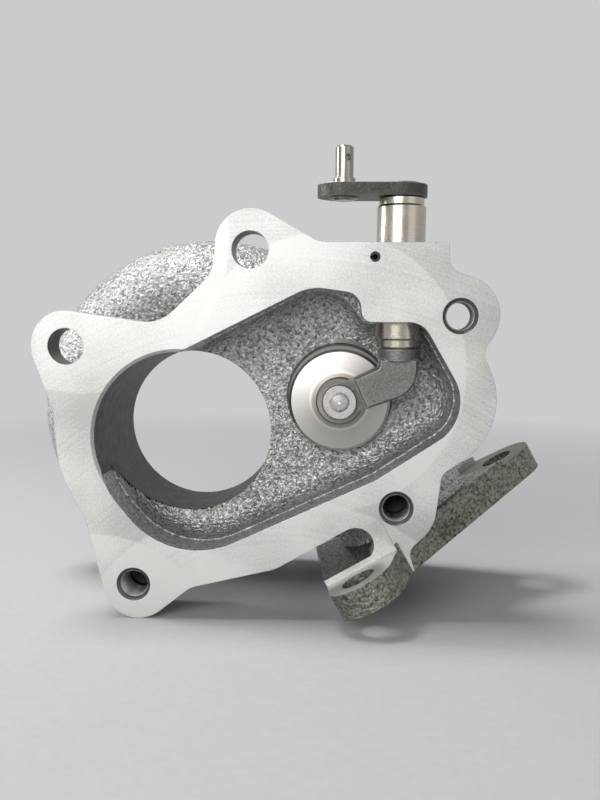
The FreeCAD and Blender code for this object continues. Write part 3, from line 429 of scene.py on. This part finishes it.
# Painted shade: the lever pin's steel is coloured darker, standing for the dark reflections on its
# sides.
PIN = turned_metal("pin_steel", (0.33, 0.31, 0.275), 0.20, 0.14, 0.004, along="Z")
DOWEL = turned_metal("dowel_steel", (0.50, 0.49, 0.47), 0.28, 0.2, 0.004)
LOCK = turned_metal("spring_pin_steel", (0.06, 0.058, 0.055), 0.4, 0.2, 0.01, metallic=0.9)
THREAD = turned_metal("thread_flank", (0.50, 0.49, 0.47), 0.3, 0.3, 0.004)
WASHER = turned_metal("washer_steel", (0.70, 0.69, 0.66), 0.24, 0.25, 0.005,
                      centre=(VALVE_X, VALVE_Z))
STUD = turned_metal("stud_end", (0.60, 0.59, 0.57), 0.22, 0.2, 0.004, centre=(VALVE_X, VALVE_Z))

# Dark forged skins: the second colour is a painted highlight on their edges.
ARM = dark_forging("arm_skin", (0.185, 0.187, 0.173), (0.60, 0.60, 0.57), 1.0, 0.38, 0.55)
PLATE = dark_forging("lever_skin", (0.062, 0.063, 0.054), (0.42, 0.42, 0.39), 0.9, 0.30, 0.35)
WELD = dark_forging("weld_skin", (0.16, 0.15, 0.135), (0.40, 0.38, 0.35), 1.0, 0.35, 0.4)
VALVE_FACE = valve_face("valve_face")


# Which finish each face of the casting, the arm and the valve has
# Limits are in mm, a little past each surface, so that the middles of its polygons fall inside.

def at(distance, value, room=0.06):
    return abs(distance - value) < room


def outlet_finish(x, depth, z, normal):
    """Finish of the milled outlet face and of its five holes, or None."""
    if normal.y < -0.985 and -0.05 < depth < 0.75:
        return MILLED
    tapped = any(math.dist((x, z), hole[:2]) < 5.5 for hole in TAPPED.values())
    plain = any(math.dist((x, z), hole) < 5.6 for hole in PLAIN)
    if (tapped and depth < 21.0) or (plain and depth < 12.1):
        return DRILLED
    return None


def inlet_finish(along, depth, outward, facing):
    """Finish of the inlet face, its ears' backs, their holes and spot faces, or None."""
    if facing > 0.999 and at(outward, INLET_FACE):
        return MILLED_SIDE
    if facing < -0.999 and at(outward, EAR_BACK):
        # The right ear's back gets the dark copy, as painted shade.
        return EAR_FACE_PAINTED_SHADE if along > 60.0 else MILLED_SIDE
    if abs(facing) < 0.02 and outward > 56.0 and depth > -24.0:
        for ear in (FRONT_EAR, RIGHT_EAR, REAR_EAR):
            if math.dist((along, depth), ear) < 5.6:
                return INLET_DRILLED
        for ear in (RIGHT_EAR, REAR_EAR):
            if at(math.dist((along, depth), ear), SPOT_FACE_RADIUS, 0.2) and outward < 62.8:
                return MILLED_SIDE
    return None


def wheel_finish(spin, depth):
    """Finish of the surfaces turned round the wheel's axis, by distance from it, or None."""
    if depth > 79.9 or (depth > 74.2 and spin > 33.5):
        return REAR
    # The bore wall, the throat and the wheel opening get painted shade.
    if at(spin, BORE_RADIUS, 0.25) and depth < 57.5:
        return BORED_PAINTED_SHADE
    if spin < 29.0 and depth < 1.2:
        return MILLED
    throat = 57.0 <= depth < 69.6 and spin < 40.1
    wheel_opening = spin < 33.2 and depth > 69.4
    return BORED_PAINTED_SHADE if throat or wheel_opening else None


def pocket_finish(x, depth, z, normal):
    """Finish of the valve's seat and port, the boss's top and its two holes, or None."""
    valve = math.hypot(x - VALVE_X, z - SEAT_Z)
    seat = valve < 18.6 and 21.9 < depth < 25.05
    port = valve < 12.6 and depth < 46.0
    # The seat and port get painted shadow.
    if seat or port:
        return SEAT_PAINTED_SHADOW
    if normal.z > 0.99 and at(z, BOSS_TOP_Z) and depth < 25.0:
        return MILLED_SIDE
    shaft_hole = math.hypot(x - SHAFT_X, depth - SHAFT_DEPTH) < 7.6 and z > 24.0
    lock_hole = math.hypot(x - LOCK_PIN_X, z - LOCK_PIN_Z) < 1.6 and depth < 16.0
    return DRILLED if shaft_hole or lock_hole else None


def casting_finish(x, depth, z, normal):
    along = x * ALONG.x + z * ALONG.z
    outward = x * OUTWARD.x + z * OUTWARD.z
    machined = (outlet_finish(x, depth, z, normal)
                or inlet_finish(along, depth, outward, normal.dot(OUTWARD))
                or wheel_finish(math.hypot(x, z), depth)
                or pocket_finish(x, depth, z, normal))
    # The inlet flange's skin is painted darker, as shade.
    return machined or (CAST_INLET_PAINTED_SHADE if 60.65 < outward < 82.2 else CAST)


def arm_finish(x, depth, z, normal):
    """The shaft is turned bright above the forged hub."""
    shaft = math.hypot(x - SHAFT_X, depth - SHAFT_DEPTH) < 4.6 and z > 27.8
    return BUSH if shaft or z > 28.1 else ARM


def valve_finish(x, depth, z, normal):
    stud = math.hypot(x - VALVE_X, z - VALVE_Z) < 3.1 and depth < 17.0
    return STUD if stud else VALVE_FACE


def paint_by_face(item, choose):
    """Give each polygon of a CAD node the material that choose names for its middle and normal."""
    mesh = item.data
    mesh.materials.clear()
    order = []
    for polygon in mesh.polygons:
        middle = polygon.center / MM
        material = choose(middle.x, middle.y - OUTLET_Y, middle.z, polygon.normal)
        if material not in order:
            order.append(material)
            mesh.materials.append(material)
        polygon.material_index = order.index(material)


def paint(item, material):
    item.data.materials.clear()
    item.data.materials.append(material)
    for polygon in item.data.polygons:
        polygon.material_index = 0


paint_by_face(nodes["turbine_housing"], casting_finish)
paint_by_face(nodes["swing_arm"], arm_finish)
paint_by_face(nodes["valve_disc"], valve_finish)
paint(nodes["wastegate_bushing"], BUSH)
paint(nodes["bushing_lock_pin"], LOCK)
paint(nodes["locating_pin"], DOWEL)
paint(nodes["wastegate_lever"], PLATE)
paint(nodes["lever_pin"], PIN)
paint(nodes["lever_weld"], WELD)
paint(nodes["valve_washer"], WASHER)


# Threads in the three tapped holes

def thread(name, hole_x, hole_z, end):
    """Make a helical ridge that stands from a tapped hole's wall, down to a depth in mm."""
    shape = (
        (THREAD_WALL, 0.0),
        (THREAD_WALL, 0.62 * THREAD_PITCH),
        (THREAD_CREST, 0.38 * THREAD_PITCH),
        (THREAD_CREST, 0.24 * THREAD_PITCH),
    )
    mesh = bpy.data.meshes.new(name)
    build = bmesh.new()
    rings = []
    count = int((end - THREAD_START - THREAD_PITCH) / THREAD_PITCH * THREAD_STEPS)
    for index in range(count + 1):
        turn = 2.0 * math.pi * index / THREAD_STEPS
        depth = THREAD_START + THREAD_PITCH * index / THREAD_STEPS
        fade = min(1.0, index / THREAD_RUNOUT, (count - index) / THREAD_RUNOUT)
        ring = []
        for radius, shift in shape:
            reach = THREAD_WALL + (radius - THREAD_WALL) * fade
            point = Vector((hole_x + reach * math.cos(turn), depth + shift + OUTLET_Y,
                            hole_z + reach * math.sin(turn)))
            ring.append(build.verts.new(point * MM))
        rings.append(ring)
    for first, second in zip(rings, rings[1:]):
        for index in range(len(shape)):
            after = (index + 1) % len(shape)
            build.faces.new((first[index], first[after], second[after], second[index]))
    build.faces.new(list(reversed(rings[0])))
    build.faces.new(rings[-1])
    bmesh.ops.recalc_face_normals(build, faces=build.faces)
    build.to_mesh(mesh)
    build.free()
    item = bpy.data.objects.new(name, mesh)
    bpy.context.scene.collection.objects.link(item)
    item.data.materials.append(THREAD)
    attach(item, "housing")


for label, (hole_x, hole_z, end) in TAPPED.items():
    thread("thread_" + label, hole_x, hole_z, end)


# Studio: floor, lights, background and camera

ground = cad_box[0][2]

bpy.ops.mesh.primitive_plane_add(size=6.0, location=(0.0, 0.0, ground))
floor = bpy.context.object
floor.name = "studio_floor"
floor.data.materials.append(floor_paint())


def soft_light(name, place, size, power):
    """Hang a rectangular lamp that faces the object's middle."""
    target = Vector((0.025, -0.04, 0.01))
    data = bpy.data.lights.new(name, "AREA")
    data.shape = "RECTANGLE"
    data.size, data.size_y = size
    data.energy = power
    item = bpy.data.objects.new(name, data)
    item.location = place
    item.rotation_euler = (target - Vector(place)).to_track_quat("-Z", "Y").to_euler()
    bpy.context.scene.collection.objects.link(item)


soft_light("light_window", (-0.32, -1.00, 0.38), (0.75, 0.55), 5.8)
soft_light("light_top", (-0.20, 0.00, 0.80), (0.30, 0.25), 4.6)
soft_light("light_left", (-0.80, 0.05, 0.30), (0.22, 0.40), 3.4)
soft_light("light_fill", (0.75, -0.70, 0.20), (0.60, 0.60), 0.6)


def plain_world(tree, colour):
    made = tree.nodes.new("ShaderNodeBackground")
    made.inputs["Color"].default_value = (*colour, 1.0)
    made.inputs["Strength"].default_value = 1.0
    return made.outputs[0]


world = bpy.data.worlds.new("studio")
bpy.context.scene.world = world
world.use_nodes = True
tree = world.node_tree
tree.nodes.clear()
output = tree.nodes.new("ShaderNodeOutputWorld")
choose = tree.nodes.new("ShaderNodeMixShader")
tree.links.new(seen_directly(tree), choose.inputs["Fac"])
tree.links.new(plain_world(tree, AMBIENT), choose.inputs[1])
tree.links.new(plain_world(tree, BACKGROUND), choose.inputs[2])
tree.links.new(choose.outputs[0], output.inputs["Surface"])

camera_data = bpy.data.cameras.new("camera")
camera_data.sensor_width = 36.0
camera_data.lens = 42.268
camera_data.shift_y = 0.10
camera = bpy.data.objects.new("camera", camera_data)
camera.location = (0.048736, -0.363983, 0.034628)
camera.rotation_euler = tuple(math.radians(angle) for angle in (80.6543, -0.3071, 2.3827))
bpy.context.scene.collection.objects.link(camera)
bpy.context.scene.camera = camera
bpy.context.scene.view_settings.view_transform = "Standard"
